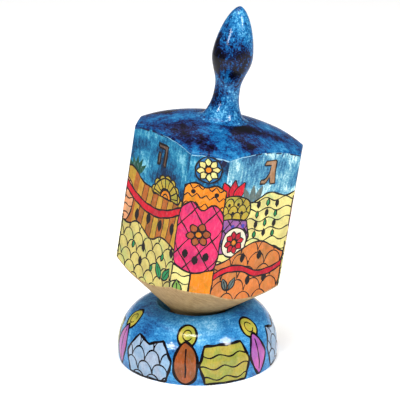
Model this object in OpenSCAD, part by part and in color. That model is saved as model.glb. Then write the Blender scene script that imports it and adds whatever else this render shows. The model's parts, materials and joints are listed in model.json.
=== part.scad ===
// Wooden spinning top with four lettered faces, leaning in its own turned stand.
// Origin: centre of the stand's flat underside. +Z up. The top leans towards +X.

/* [Block] */
// Width of the block across two opposite wide faces
block_w = 55.7; // [45:0.1:70]
// Width of each narrow face that bevels an upright edge
narrow_face_w = 14.6; // [6:0.2:20]
// Height from the tip of the point to the middle of the domed top
block_h = 86.3; // [70:0.1:110]
// Fall of the domed top from its middle to the block's corners
crown_drop = 7.3; // [2:0.1:8]
// Angle between the point's side and the spinning axis, in degrees
point_half_angle = 52; // [46:0.1:53]
// Radius that the tip of the point is worn to
tip_r = 0.8; // [0.4:0.1:1.2]

/* [Handle] */
// Length of the handle above the block
handle_h = 43.8; // [38:0.2:56]
// Diameter of the flared foot that sits on the block
foot_d = 16.8; // [14:0.2:24]
// Diameter of the neck above the foot
neck_d = 9.8; // [8.6:0.2:12]
// Height of the neck above the block
neck_z = 12.4; // [8:0.2:15]
// Diameter of the bulb that the fingers hold
bulb_d = 15.6; // [12.4:0.2:19]
// Height of the bulb's widest ring above the block
bulb_z = 24.6; // [20:0.2:32]
// Diameter of the tenon glued into the block
tenon_d = 8; // [5:0.2:8.4]
// Length of the tenon
tenon_h = 20; // [12:0.5:30]

/* [Stand] */
// Diameter of the stand's flat underside
base_d = 62.8; // [50:0.2:63.2]
// Diameter of the stand at its widest ring
belly_d = 63.4; // [63:0.2:76]
// Height of the widest ring
belly_z = 4.5; // [3:0.1:8]
// Height of the stand
stand_h = 22.7; // [20:0.1:28]
// Diameter of the socket's mouth
mouth_d = 31; // [30:0.1:35]
// Radius that rounds the lip of the mouth
lip_r = 1.2; // [0.6:0.1:2]
// Depth of the socket
socket_depth = 10.8; // [10.4:0.1:13]
// Diameter of the socket's flat floor
floor_d = 7.2; // [5:0.1:9]

/* [Pose] */
// Direction in which the top leans, from +X towards +Y, in degrees
lean_heading = 10.3; // [-180:0.1:180]
// Turn of the top about its own axis, in degrees
spin_turn = -62; // [-180:0.1:180]

/* [Fits] */
// Space between the tip and the socket's floor and wall
tip_gap = 0.3; // [0.1:0.05:0.5]
// Space between the point's side and the lip
lip_gap = 0.3; // [0.1:0.05:0.5]
// Glue space round the tenon
glue_gap = 0.1; // [0.05:0.01:0.2]
// Space under the end of the tenon
tenon_end_gap = 0.6; // [0.2:0.1:2]

/* [Hidden] */
$fn = 160;

// Steps of each curved stretch of an outline
curve_steps = 24;
lip_steps = 6;
// How steeply the handle's foot flares, how soon its bulb tapers, and how full it is drawn to the tip
flare_share = 2.6;
tip_taper_share = 1.6;
tip_fullness_share = 0.6;

// Octagon of the block: half a wide face's distance, and that of a narrow face
half_w = block_w / 2;
bevel_reach = half_w * sqrt(2) - narrow_face_w / 2;
corner_r = norm([half_w, bevel_reach * sqrt(2) - half_w]);
// Sphere that the top is turned to, and the flat land on it that seats the handle
crown_r = (pow(corner_r, 2) + pow(crown_drop, 2)) / (2 * crown_drop);
foot_r = foot_d / 2;
seat_z = block_h - (crown_r - sqrt(pow(crown_r, 2) - pow(foot_r, 2)));
bore_depth = tenon_h + tenon_end_gap;
// The point is a cone whose sides touch the small ball of the tip, which stands at height zero
tip_to_apex = tip_r / sin(point_half_angle) - tip_r;
blank_r = corner_r + crown_drop;

// Lip of the socket, and the slope of its wall above the level
lip_x = mouth_d / 2 + lip_r;
lip_z = stand_h - lip_r;
floor_r = floor_d / 2;
floor_z = stand_h - socket_depth;
wall_run = norm([lip_x - floor_r, lip_z - floor_z]);
wall_slope = atan2(lip_z - floor_z, lip_x - floor_r) + asin(lip_r / wall_run);
// The ball of the tip rests in the corner between the socket's floor and wall
tip_x = (tip_r + tip_gap) * tan(wall_slope / 2) - floor_r;
tip_z = floor_z + tip_gap + tip_r;
// The side of the point lies on the lip across from it, and that sets the lean
side_run = norm([lip_x - tip_x, lip_z - tip_z]);
side_slope = atan2(lip_z - tip_z, lip_x - tip_x) + asin((tip_r + lip_r + lip_gap) / side_run);
lean = 90 - point_half_angle - side_slope;

// Points of an arc about c, from angle a0 to angle a1
function arc(c, r, a0, a1, n) =
    [for (i = [0:n]) let (a = a0 + (a1 - a0) * i / n) c + r * [cos(a), sin(a)]];

// Radius of the handle at height z above the block
function handle_r(z) =
    z < neck_z ? neck_d / 2 + (foot_d - neck_d) / 2 * pow(1 - z / neck_z, flare_share)
    : z < bulb_z ? neck_d / 2 + (bulb_d - neck_d) / 4 * (1 - cos(180 * (z - neck_z) / (bulb_z - neck_z)))
    : bulb_d / 2 * pow(1 - pow((z - bulb_z) / (handle_h - bulb_z), tip_taper_share), tip_fullness_share);

// Heights of the rings along the handle: even up the flare and the bulb, closer near the tip
function handle_rings() = concat(
    [for (i = [0:curve_steps - 1]) neck_z * i / curve_steps],
    [for (i = [0:curve_steps - 1]) neck_z + (bulb_z - neck_z) * i / curve_steps],
    [for (i = [0:curve_steps - 1]) bulb_z + (handle_h - bulb_z) * sin(90 * i / curve_steps)]);

// The top's own frame has its tip on the origin and its axis on +Z. This seats it in the stand.
module seated() {
    rotate([0, 0, lean_heading])
        translate([tip_x, 0, tip_z])
            rotate([0, lean, 0])
                rotate([0, 0, spin_turn])
                    translate([0, 0, -tip_r])
                        children();
}

// Square bar with bevelled edges, as long as the block
module bevelled_bar() {
    linear_extrude(seat_z)
        intersection() {
            square(block_w, center = true);
            rotate(45) square(2 * bevel_reach, center = true);
        }
}

// Everything that the lathe leaves below the block: the point with its worn tip
module turned_point() {
    rotate_extrude()
        polygon(concat(
            arc([0, tip_r], tip_r, -90, -point_half_angle, lip_steps),
            [[blank_r, blank_r / tan(point_half_angle) - tip_to_apex], [blank_r, block_h], [0, block_h]]));
}

// Hardwood block: the bevelled bar cut by the turned point and the domed top
module block() {
    color("steelblue")
        seated()
            difference() {
                intersection() {
                    bevelled_bar();
                    turned_point();
                    translate([0, 0, block_h - crown_r]) sphere(crown_r);
                }
                translate([0, 0, seat_z - bore_depth])
                    cylinder(h = bore_depth + crown_drop, r = tenon_d / 2 + glue_gap);
            }
}

// Turned handle: tenon, flared foot, neck and bulb in one piece
module handle() {
    color("royalblue")
        seated()
            translate([0, 0, seat_z])
                rotate_extrude()
                    polygon(concat(
                        [[0, -tenon_h], [tenon_d / 2, -tenon_h], [tenon_d / 2, 0]],
                        [for (z = handle_rings()) [handle_r(z), z]],
                        [[0, handle_h]]));
}

// Turned stand: flat underside, round belly and shoulder, and a socket for the point
module stand() {
    belly_r = belly_d / 2;
    color("cornflowerblue")
        rotate_extrude()
            polygon(concat(
                [[0, 0]],
                [for (i = [0:curve_steps]) let (a = 90 * i / curve_steps)
                    [base_d / 2 + (belly_d - base_d) / 2 * sin(a), belly_z * (1 - cos(a))]],
                [for (i = [1:curve_steps]) let (a = 90 * i / curve_steps)
                    [lip_x + (belly_r - lip_x) * cos(a), belly_z + (stand_h - belly_z) * sin(a)]],
                arc([lip_x, lip_z], lip_r, 90, 90 + wall_slope, lip_steps),
                [[floor_r, floor_z], [0, floor_z]]));
}

block();
handle();
stand();
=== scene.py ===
"""Hand-painted wooden dreidel that leans in its turned stand: painted surfaces, light and camera.

The drawings are made flat, in millimetres, and laid on the block and the stand as regions of their meshes.
"""

import json
import math
import random

import bpy
import numpy as np
from mathutils import Matrix, Vector
from mathutils.geometry import delaunay_2d_cdt


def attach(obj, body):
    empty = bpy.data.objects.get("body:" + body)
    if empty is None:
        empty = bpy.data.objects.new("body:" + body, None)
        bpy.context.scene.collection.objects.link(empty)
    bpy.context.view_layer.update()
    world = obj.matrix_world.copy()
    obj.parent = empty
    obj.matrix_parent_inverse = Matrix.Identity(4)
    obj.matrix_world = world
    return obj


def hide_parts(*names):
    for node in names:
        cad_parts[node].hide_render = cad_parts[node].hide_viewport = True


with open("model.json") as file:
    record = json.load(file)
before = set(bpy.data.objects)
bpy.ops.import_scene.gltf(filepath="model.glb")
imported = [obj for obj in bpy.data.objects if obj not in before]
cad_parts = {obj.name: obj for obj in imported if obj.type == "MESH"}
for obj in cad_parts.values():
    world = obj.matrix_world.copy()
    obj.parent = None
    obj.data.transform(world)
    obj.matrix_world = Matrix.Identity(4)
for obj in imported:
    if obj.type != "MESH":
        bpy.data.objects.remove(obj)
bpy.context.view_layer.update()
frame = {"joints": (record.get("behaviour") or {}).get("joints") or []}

MM = 0.001
FULL_TURN = 2 * math.pi
QUARTER_TURN = math.pi / 2

# Block, in millimetres, as in the part's source
BLOCK_W = 55.7
NARROW_FACE_W = 14.6
BLOCK_H = 86.3
CROWN_DROP = 7.3
POINT_HALF_ANGLE = math.radians(52.0)
TIP_R = 0.8

# Handle
HANDLE_H = 43.8
FOOT_R = 8.4
NECK_R = 4.9
NECK_Z = 12.4
BULB_R = 7.8
BULB_Z = 24.6
TENON_R = 4.0
TENON_H = 20.0
BORE_R = 4.1
BORE_DEPTH = 20.6
FLARE = 2.6
TIP_TAPER = 1.6
TIP_FULLNESS = 0.6

# Stand
BASE_R = 31.4
BELLY_R = 31.7
BELLY_Z = 4.5
STAND_H = 22.7
MOUTH_R = 15.5
LIP_R = 1.2
FLOOR_R = 3.6
FLOOR_Z = 11.9

# Pose of the top in the stand
LEAN_HEADING = math.radians(10.3)
SPIN_TURN = math.radians(-62.0)

# What sanding and paint leave of the sharp edges, and the paint that fills the corner round the foot
CORNER_ROUND = 0.8
EDGE_SOFT = 0.6
FILLET_R = 10.2
FILLET_Z = 1.6

# Derived from the sizes above
HALF_W = BLOCK_W / 2
BEVEL_REACH = HALF_W * math.sqrt(2) - NARROW_FACE_W / 2
CORNER_R = math.hypot(HALF_W, BEVEL_REACH * math.sqrt(2) - HALF_W)
CROWN_R = (CORNER_R**2 + CROWN_DROP**2) / (2 * CROWN_DROP)
SEAT_Z = BLOCK_H - (CROWN_R - math.sqrt(CROWN_R**2 - FOOT_R**2))
TIP_TO_APEX = TIP_R / math.sin(POINT_HALF_ANGLE) - TIP_R
LIP_X = MOUTH_R + LIP_R
STAND_LENGTH = FULL_TURN * BELLY_R

# How finely round surfaces are divided
TURN_STEPS = 120
CROWN_STEPS = 26
POINT_STEPS = 30
TIP_STEPS = 5
HANDLE_STEPS = 59
BULB_TIP_STEPS = 24
BELLY_STEPS = 6
SHOULDER_STEPS = 24
LIP_STEPS = 7
SOCKET_STEPS = 10

# Steps of the lip in the stand's blue, and steps of the socket's wall that share the inner lip's lighter
# blue: painted light that lifts the shade in the socket
BLUE_LIP_STEPS = 3
PAINTED_SOCKET_STEPS = 4


def top_frame():
    """Matrix from the top's own frame, in millimetres with its tip on the origin, to its seat."""
    joint = next(j for j in frame["joints"] if j["name"] == "dreidel_spin")
    lean = math.acos(Vector(joint["axis"]).normalized().z)
    heading = Matrix.Rotation(LEAN_HEADING, 4, "Z")
    turn = heading @ Matrix.Rotation(lean, 4, "Y") @ Matrix.Rotation(SPIN_TURN, 4, "Z")
    seat = Matrix.Translation(Vector(joint["pos_m"]))
    return seat @ turn @ Matrix.Scale(MM, 4) @ Matrix.Translation((0, 0, -TIP_R))


TOP = top_frame()
STAND = Matrix.Scale(MM, 4)

# Colours, as they read on the screen from 0 to 255
SCREEN_COLOURS = {
    "ink": (6, 5, 8), "sky_mid": (44, 114, 156), "sky_light": (84, 142, 178), "sky_pale": (132, 180, 204),
    "sky_deep": (30, 92, 140), "sky_soft": (66, 132, 168), "sky_dark": (22, 62, 112), "navy": (16, 20, 56),
    "stand_blue": (50, 126, 176), "ice": (150, 167, 188), "pale_yellow": (208, 197, 122),
    "straw": (193, 178, 101), "khaki": (170, 147, 50), "gold": (181, 134, 41), "orange": (210, 120, 16),
    "brown": (158, 86, 29), "rust": (145, 73, 32), "terracotta": (197, 113, 52), "salmon": (208, 145, 101),
    "pink": (203, 40, 91), "magenta": (179, 86, 157), "purple": (145, 84, 139), "violet_blue": (62, 58, 150),
    "red": (189, 13, 38), "cream": (222, 212, 184), "green": (28, 124, 72), "deep_green": (14, 70, 52),
    "leaf": (106, 143, 59), "olive": (162, 149, 59), "disc_yellow": (183, 164, 59), "letter": (150, 112, 78),
    "dark_letter": (88, 66, 54), "grey": (84, 98, 94),
}


def linear(red, green, blue):
    """Linear colour of a screen colour."""
    share = [c / 255 for c in (red, green, blue)]
    return tuple(c / 12.92 if c <= 0.04045 else ((c + 0.055) / 1.055) ** 2.4 for c in share)


PAINTS = {name: linear(*screen) for name, screen in SCREEN_COLOURS.items()}


# Flat shapes


def resampled(points, step):
    """The same line with a point about every step along it, ends kept."""
    points = np.asarray(points, float)
    lengths = np.hypot(*np.diff(points, axis=0).T)
    along = np.concatenate([[0], np.cumsum(lengths)])
    count = max(1, round(along[-1] / step))
    where = np.linspace(0, along[-1], count + 1)
    return np.stack([np.interp(where, along, points[:, i]) for i in (0, 1)], axis=1)


def rectangle(left, bottom, right, top):
    return [(left, bottom), (right, bottom), (right, top), (left, top)]


def arc_line(u, v, radius, start, end, count=10, height=None):
    """Points along an arc about (u, v), or along part of an ellipse of its own height. Angles in degrees."""
    angles = np.radians(np.linspace(start, end, count))
    return np.stack([u + radius * np.cos(angles), v + (height or radius) * np.sin(angles)], axis=1)


def circle(u, v, radius, count=22):
    return arc_line(u, v, radius, 0, 360, count)[:-1]


def smooth_line(points, closed=False, steps=6):
    """Smooth line through a few points."""
    points = [np.array(p, float) for p in points]
    count = len(points)
    line = []
    for i in range(count if closed else count - 1):
        a = points[i - 1] if closed or i > 0 else points[i]
        b = points[i]
        c = points[(i + 1) % count]
        d = points[(i + 2) % count] if closed or i + 2 < count else c
        for t in np.arange(steps) / steps:
            bend = (2 * a - 5 * b + 4 * c - d) * t**2
            twist = (3 * b - a - 3 * c + d) * t**3
            line.append(0.5 * (2 * b + (c - a) * t + bend + twist))
    if not closed:
        line.append(points[-1])
    return np.array(line)


def shifted(u, *points):
    """Points that are given from the line at u."""
    return [(u + x, v) for x, v in points]


def curve(u, *points, closed=False):
    """Smooth line through points that are given from the line at u."""
    return smooth_line(shifted(u, *points), closed).tolist()


def hill(u, foot, *crest):
    """A smooth crest with upright sides below its ends, down to a level foot."""
    line = curve(u, *crest)
    return line + [(line[-1][0], foot), (line[0][0], foot)]


def ribbon(u, depth, *points):
    """A band of even depth below a smooth line."""
    line = curve(u, *points)
    return line + [(x, v - depth) for x, v in line[::-1]]


def turned(points, u, v, degrees):
    """Points about the origin, turned and set at (u, v)."""
    angle = math.radians(degrees)
    matrix = np.array([[math.cos(angle), math.sin(angle)], [-math.sin(angle), math.cos(angle)]])
    return np.asarray(points, float) @ matrix + (u, v)


def leaf_shape(u, v, length, width, degrees):
    """Pointed leaf that starts at (u, v)."""
    share = np.linspace(0, 1, 9)
    side = width / 2 * np.sin(np.pi * share**0.85)
    upper = np.stack([share * length, side], axis=1)
    lower = np.stack([share[1:-1][::-1] * length, -side[1:-1][::-1]], axis=1)
    return turned(np.concatenate([upper, lower]), u, v, degrees)


def is_inside(polygon, points):
    """For each point, whether it lies inside the polygon."""
    polygon = np.asarray(polygon, float)
    x, y = np.asarray(points, float).T
    found = np.zeros(len(x), bool)
    for (x0, y0), (x1, y1) in zip(polygon, np.roll(polygon, -1, axis=0)):
        if y0 != y1:
            found ^= ((y0 > y) != (y1 > y)) & (x < (x1 - x0) * (y - y0) / (y1 - y0) + x0)
    return found


def parts_inside(polygon, line, step=0.35):
    """The stretches of a line that lie inside a polygon."""
    points = resampled(line, step)
    parts, part = [], []
    for point, kept in zip(points, is_inside(polygon, points)):
        if kept:
            part.append(point)
        elif part:
            parts.append(part)
            part = []
    parts.append(part)
    return [np.array(p) for p in parts if len(p) > 2]


def box_of(points):
    points = np.asarray(points, float)
    return (*points.min(axis=0), *points.max(axis=0))


def anticlockwise(points):
    """The same outline, walked anticlockwise."""
    x, y = np.asarray(points, float).T
    area = np.sum(x * np.roll(y, -1) - y * np.roll(x, -1))
    return points if area > 0 else points[::-1]


# Patterns: each gives lines that cover the box (left, bottom, right, top)


def scales(box, width=4.6, height=3.0):
    """Rows of overlapping scales, each row half a scale along."""
    left, bottom, right, top = box
    lines = []
    for row in range(int((top - bottom) / height) + 2):
        start = left - (row % 2) * width / 2 - width / 2
        v = bottom + (row - 0.6) * height
        for i in range(int((right - left) / width) + 3):
            lines.append(arc_line(start + (i + 0.5) * width, v, width / 2, 6, 174, 9, height))
    return lines


def diamonds(box, width=4.4, height=5.4):
    """Two sets of slanting lines."""
    left, bottom, right, top = box
    slope = height / width
    tall = top - bottom
    lines = []
    for i in range(int((right - left + tall / slope) / width) + 3):
        start = left + i * width
        lines.append([(start, bottom), (start - tall / slope, top)])
        lines.append([(start - tall / slope, bottom), (start, top)])
    return lines


def waves(box, step=3.4, swell=0.8, length=7.0):
    """Rows of waves."""
    left, bottom, right, top = box
    across = np.linspace(left, right, max(4, int((right - left) / 0.9)))
    lines = []
    for row in range(int((top - bottom) / step) + 1):
        v = bottom + (row + 0.5) * step + swell * np.sin(FULL_TURN * across / length + row)
        lines.append(np.stack([across, v], axis=1))
    return lines


def zigzags(box, step=3.6, height=1.5, length=3.0):
    """Rows of zigzags."""
    left, bottom, right, top = box
    count = int((right - left) / (length / 2)) + 2
    return [
        [(left + i * length / 2, bottom + (row + 0.4) * step + height * (i % 2)) for i in range(count)]
        for row in range(int((top - bottom) / step) + 1)
    ]


def upright_lines(box, step=3.0):
    left, bottom, right, top = box
    places = [left + (i + 0.5) * step for i in range(int((right - left) / step) + 1)]
    return [[(u, bottom), (u, top)] for u in places]


def rays(box, count=14):
    """Lines from the middle of the box's lower side."""
    left, bottom, right, top = box
    reach = math.hypot(right - left, top - bottom)
    middle = (left + right) / 2
    angles = [math.pi * (i + 0.5) / count for i in range(count)]
    return [[(middle, bottom), (middle + reach * math.cos(a), bottom + reach * math.sin(a))] for a in angles]


def rings(box, step=2.4):
    """Half rings about the middle of the box's lower side."""
    left, bottom, right, top = box
    reach = math.hypot(right - left, top - bottom)
    middle = (left + right) / 2
    return [arc_line(middle, bottom, step * i, 0, 180, 16) for i in range(1, int(reach / step) + 1)]


class Drawing:
    """A flat drawing in millimetres, u to the right and v up: coloured shapes in the order of painting.

    A pattern is given as its function and its sizes. spots are places from u with a tilt in degrees.
    """

    # How far apart the pen's points lie, its width in patterns, how far it sways and how much it swells
    PEN_STEP = 1.1
    PATTERN_PEN = 0.74
    SWAY = 0.09
    FINE_SWAY = 0.05
    SWELL = 0.22

    def __init__(self, seed, ink_width):
        self.random = random.Random(seed)
        self.ink_width = ink_width
        self.shapes = []

    def fill(self, points, colour, within=None, brush=0.6):
        """Colours an area, and returns its number. within is the number of the shape that it keeps inside."""
        run = self.random.uniform(0, 90)
        self.shapes.append((np.asarray(points, float), colour, within, brush, run))
        return len(self.shapes) - 1

    def ink(self, line, within=None, width=None, colour="ink"):
        """Draws a line with the pen: a little unsteady, and never quite even in width."""
        line = resampled(line, self.PEN_STEP)
        along = np.gradient(line, axis=0)
        along /= np.maximum(np.hypot(*along.T), 1e-9)[:, None]
        across = np.stack([-along[:, 1], along[:, 0]], axis=1)
        phase = self.random.uniform(0, FULL_TURN)
        beat = self.random.uniform(0.5, 0.9)
        count = np.arange(len(line))
        slow, fast = np.sin(phase + beat * count), np.sin(2.3 * phase + 1.9 * beat * count)
        shift = self.SWAY * slow + self.FINE_SWAY * fast
        swell = 1 + self.SWELL * np.sin(1.7 * phase + 1.3 * beat * count)
        half = (width or self.ink_width) / 2 * swell
        line = line + across * shift[:, None]
        left = line + across * half[:, None]
        right = line - across * half[:, None]
        for i in range(len(line) - 1):
            stroke = np.array([right[i], right[i + 1], left[i + 1], left[i]])
            self.shapes.append((stroke, colour, within, 0.0, 0.0))
        for end in (0, -1):
            self.shapes.append((circle(*line[end], half[end], 9), colour, within, 0.0, 0.0))

    def outline(self, points, width=None):
        points = np.asarray(points, float)
        self.ink(np.concatenate([points, points[:1]]), width=width)

    def patch(self, points, colour, pattern=None, width=None):
        """A coloured area with its outline and a pattern of pen lines."""
        number = self.fill(points, colour)
        if pattern:
            for line in pattern[0](box_of(points), *pattern[1:]):
                for part in parts_inside(points, line):
                    self.ink(part, within=number, width=width or self.ink_width * self.PATTERN_PEN)
        self.outline(points)
        return number

    def stripes(self, number, box, colour, step, slant=0.0):
        """Every other stripe of a shape in a second colour."""
        left, bottom, right, top = box
        lean = slant * (top - bottom)
        for i in range(-int(abs(lean) / (2 * step)) - 1, int((right - left) / (2 * step)) + 2):
            start = left + 2 * i * step
            end = start + step
            points = [(start, bottom), (end, bottom), (end + lean, top), (start + lean, top)]
            self.fill(points, colour, number)

    def checks(self, number, box, colour, width, height):
        """Every other diamond of a shape in a second colour."""
        left, bottom, right, top = box
        for row in range(int((top - bottom) / height) + 2):
            for i in range(int((right - left) / width) + 2):
                u = left + (i + 0.5) * width
                v = bottom + row * height
                points = [(u - width / 2, v), (u, v - height / 2), (u + width / 2, v), (u, v + height / 2)]
                self.fill(points, colour, number)

    def dots(self, places, radius, colour, within=None):
        for u, v in places:
            self.fill(circle(u, v, radius, 13), colour, within, brush=0.3)

    def leaf(self, u, v, length, width, degrees, colour, vein=True):
        points = leaf_shape(u, v, length, width, degrees)
        self.fill(points, colour)
        self.outline(points, width=self.ink_width * 0.8)
        if vein:
            angle = math.radians(degrees)
            end = (u + 0.75 * length * math.cos(angle), v + 0.75 * length * math.sin(angle))
            self.ink([(u, v), end], width=self.ink_width * 0.6)

    def seeds(self, u, places, length, width, degrees, colour):
        """Small leaves without a vein, at places from u."""
        for x, v in places:
            self.leaf(u + x, v, length, width, degrees, colour, vein=False)

    def fan(self, u, v, spots, length, width, colour, vein=True):
        """Leaves that start at one height."""
        for x, tilt in spots:
            self.leaf(u + x, v, length, width, tilt, colour, vein)

    def tuft(self, u, v, spots, length, width, colour):
        """Blades that start at one height and have no pen line."""
        for x, tilt in spots:
            self.fill(leaf_shape(u + x, v, length, width, tilt), colour, brush=1.0)

    def rosette(self, u, v, radius, petals, petal_colour, heart_colour, ground=None):
        """Round flower, on a disc of its own if ground is a colour."""
        if ground:
            self.patch(circle(u, v, radius * 1.3, 28), ground)
        inner = 0.28 * radius
        for i in range(petals):
            tilt = 360 * i / petals + 12
            angle = math.radians(tilt)
            start = (u + inner * math.cos(angle), v + inner * math.sin(angle))
            self.leaf(*start, radius - inner, radius * 0.62, tilt, petal_colour, vein=False)
        self.patch(circle(u, v, radius * 0.3, 14), heart_colour)

    def half_daisy(self, u, v, radius, petals, colour, heart):
        """Upper half of a large flower with round petals."""
        step = math.pi / petals
        reach = radius * 0.8
        for i in range(petals):
            angle = (i + 0.5) * step
            middle = (u + reach * math.cos(angle), v + reach * math.sin(angle))
            self.patch(circle(*middle, radius * step * 0.46, 16), colour)
        self.patch(arc_line(u, v, radius * 0.84, 0, 180, 24), colour, (rays, petals + 1))
        self.patch(arc_line(u, v, radius * 0.4, 0, 180, 16), heart, (rings, 1.5))

    def sprig(self, u, v, height, colour, leaves=3):
        """Upright stem with leaves to both sides."""
        self.ink([(u, v), (u + 0.3, v + height)], width=self.ink_width * 0.8)
        for i in range(leaves):
            rise = v + height * (i + 0.6) / (leaves + 0.4)
            self.fan(u, rise, ((0, 38), (0, 142)), height * 0.34, height * 0.15, colour, vein=False)


# Letters: plain block forms on a square of 1 by 1, each a list of closed shapes
LETTERS = {
    "nun": [[(0.2, 0), (0.78, 0), (0.78, 1), (0.4, 1), (0.34, 0.8), (0.55, 0.8), (0.55, 0.2), (0.2, 0.2)]],
    "gimel": [[(0.08, 0), (0.36, 0), (0.55, 0.3), (0.62, 0), (0.92, 0), (0.82, 0.5), (0.82, 1), (0.22, 1),
               (0.18, 0.8), (0.54, 0.8), (0.52, 0.46), (0.3, 0.2), (0.08, 0.2)]],
    "hei": [[(0.08, 1), (0.08, 0.8), (0.68, 0.8), (0.68, 0), (0.92, 0), (0.92, 1)],
            [(0.14, 0), (0.38, 0), (0.36, 0.58), (0.14, 0.58)]],
    "shin": [[(0.06, 1), (0.14, 0.14), (0.28, 0), (0.74, 0), (0.94, 1), (0.74, 1), (0.62, 0.2), (0.56, 0.2),
              (0.6, 1), (0.42, 1), (0.38, 0.2), (0.3, 0.2), (0.26, 1)]],
}
# Each letter's face, how far right of the face's middle and how high it stands, its size, colour and pen
LETTER_PLACES = (
    (6, "hei", 1.5, 73.0, 6.4, 8.0, "dark_letter", 0.75),
    (2, "nun", 1.4, 73.0, 6.6, 8.8, "dark_letter", 0.75),
    (0, "gimel", 2.9, 72.8, 9.0, 9.2, "letter", 0.55),
    (4, "shin", 1.4, 73.0, 8.0, 9.0, "letter", 0.55),
)


def draw_letter(d, name, u, v, width, height, colour, pen):
    """One of the four game letters, brown with a pen line, centred on (u, v)."""
    for shape in LETTERS[name]:
        points = [(u + (x - 0.5) * width, v + (y - 0.5) * height) for x, y in shape]
        d.fill(points, colour, brush=0.9)
        d.outline(points, width=pen)


# The block's faces, walked round anticlockwise as seen from above. Even faces are wide and odd ones narrow.


class RoundedBar:
    """Walk round the bevelled bar with softened corners. u is the distance from the corner before face 3."""

    FIRST_FACE = 3
    ARC_STEPS = 5

    def __init__(self):
        cut = CORNER_ROUND * math.tan(math.radians(22.5))
        narrow = NARROW_FACE_W - 2 * cut
        wide = 2 * (BEVEL_REACH * math.sqrt(2) - HALF_W) - 2 * cut
        self.arc = CORNER_ROUND * math.radians(45)
        self.starts, self.flats = [], []
        u = 0.0
        for i in range(8):
            flat = narrow if (self.FIRST_FACE + i) % 2 else wide
            self.starts.append(u)
            self.flats.append(flat)
            u += flat + self.arc
        self.length = u

    def centre(self, face):
        """u at the middle of a face."""
        i = (face - self.FIRST_FACE) % 8
        return self.starts[i] + self.flats[i] / 2

    def half(self, face):
        """Half the width of a face, with half of the rounding at its side."""
        return (self.flats[(face - self.FIRST_FACE) % 8] + self.arc) / 2

    def at(self, u):
        """Place and outward normal at u."""
        i = max(k for k in range(8) if self.starts[k] <= u + 1e-9)
        angle = math.radians(45 * (self.FIRST_FACE + i))
        reach = BEVEL_REACH if (self.FIRST_FACE + i) % 2 else HALF_W
        past = u - self.starts[i] - self.flats[i]
        side = min(u - self.starts[i], self.flats[i]) - self.flats[i] / 2
        normal = Vector((math.cos(angle), math.sin(angle), 0))
        tangent = Vector((-math.sin(angle), math.cos(angle), 0))
        place = normal * reach + tangent * side
        if past > 0:
            bend = past / CORNER_ROUND
            place += (tangent * math.sin(bend) - normal * (1 - math.cos(bend))) * CORNER_ROUND
            normal = normal * math.cos(bend) + tangent * math.sin(bend)
        return place, normal

    def corner_lines(self):
        """u of every upright line that the mesh needs to bend round the corners."""
        bends = [self.arc * k / self.ARC_STEPS for k in range(self.ARC_STEPS + 1)]
        return [start + flat + bend for start, flat in zip(self.starts, self.flats) for bend in bends]

    def samples(self, step=1.3):
        """u of the points along the top and bottom borders."""
        us = set(self.corner_lines())
        for start, flat in zip(self.starts, self.flats):
            count = round(flat / step)
            us.update(start + flat * k / count for k in range(count + 1))
        return sorted(u for u in us if u < self.length - 1e-6) + [self.length]


BAR = RoundedBar()

# Heights that lie past the edges of every face: of the sky, the wash under it, the shapes and the creases
SKY_FOOT = 20
SKY_TOP = 86
WASH_TOP = 84
FACE_FOOT = 18
CREASE_FOOT = 15
CREASE_TOP = 90

# Point, lozenge and foot of the narrow faces that the main view doesn't show
NARROW_FACES = {
    1: ("gold", "red", "straw"),
    3: ("pink", "olive", "orange"),
    5: ("orange", "magenta", "pale_yellow"),
}
# Pale strokes along the faces' upper edges are a painted highlight on the rounded edge; navy ones are the
# dome's paint
EDGE_HIGHLIGHT_PAINTS = ("sky_pale", "sky_pale", "sky_soft")
NAVY_PAINTS = ("navy", "navy", "sky_dark")


def crown_z(radius):
    """Height of the domed top at a distance from the axis."""
    return BLOCK_H - (CROWN_R - math.sqrt(CROWN_R**2 - radius**2))


def point_z(radius):
    """Height of the turned point's side at a distance from the axis."""
    return radius / math.tan(POINT_HALF_ANGLE) - TIP_TO_APEX


def top_edge(u, below):
    """A point on a face, a little below its upper edge."""
    return u, crown_z(math.hypot(*BAR.at(u)[0].xy)) - EDGE_SOFT - below


def edge_line(d, face, start, end, colours, broad, share=0.85):
    """Broken line along part of a face's upper edge: the dome's paint in dark colours, a painted highlight in
    pale ones. start and end run from -1 to 1 across it.
    """
    middle, half = BAR.centre(face), BAR.half(face) - 0.4
    count = max(2, round(half * (end - start) * 0.45))
    us = np.linspace(middle + start * half, middle + end * half, count)
    for a, b in zip(us, us[1:]):
        if d.random.random() < share:
            ends = [top_edge(u, d.random.uniform(0.0, 0.4)) for u in (a, b)]
            width = d.random.uniform(0.6, 1.3) * broad
            d.ink(ends, width=width, colour=d.random.choice(colours))


def drips(d, face, start, end, count, length, colours, broad=0.4):
    """Short strokes of the brush that run down from a face's upper edge."""
    middle, half = BAR.centre(face), BAR.half(face) - 0.6
    for i in range(count):
        share = start + (end - start) * (i + d.random.uniform(0.1, 0.9)) / count
        u, v = top_edge(middle + share * half, 0.2)
        fall = length * d.random.uniform(0.3, 1.0)
        width = broad * d.random.uniform(0.6, 1.4)
        d.ink([(u, v), (u - 0.25 * fall, v - fall)], width=width, colour=d.random.choice(colours))


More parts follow.
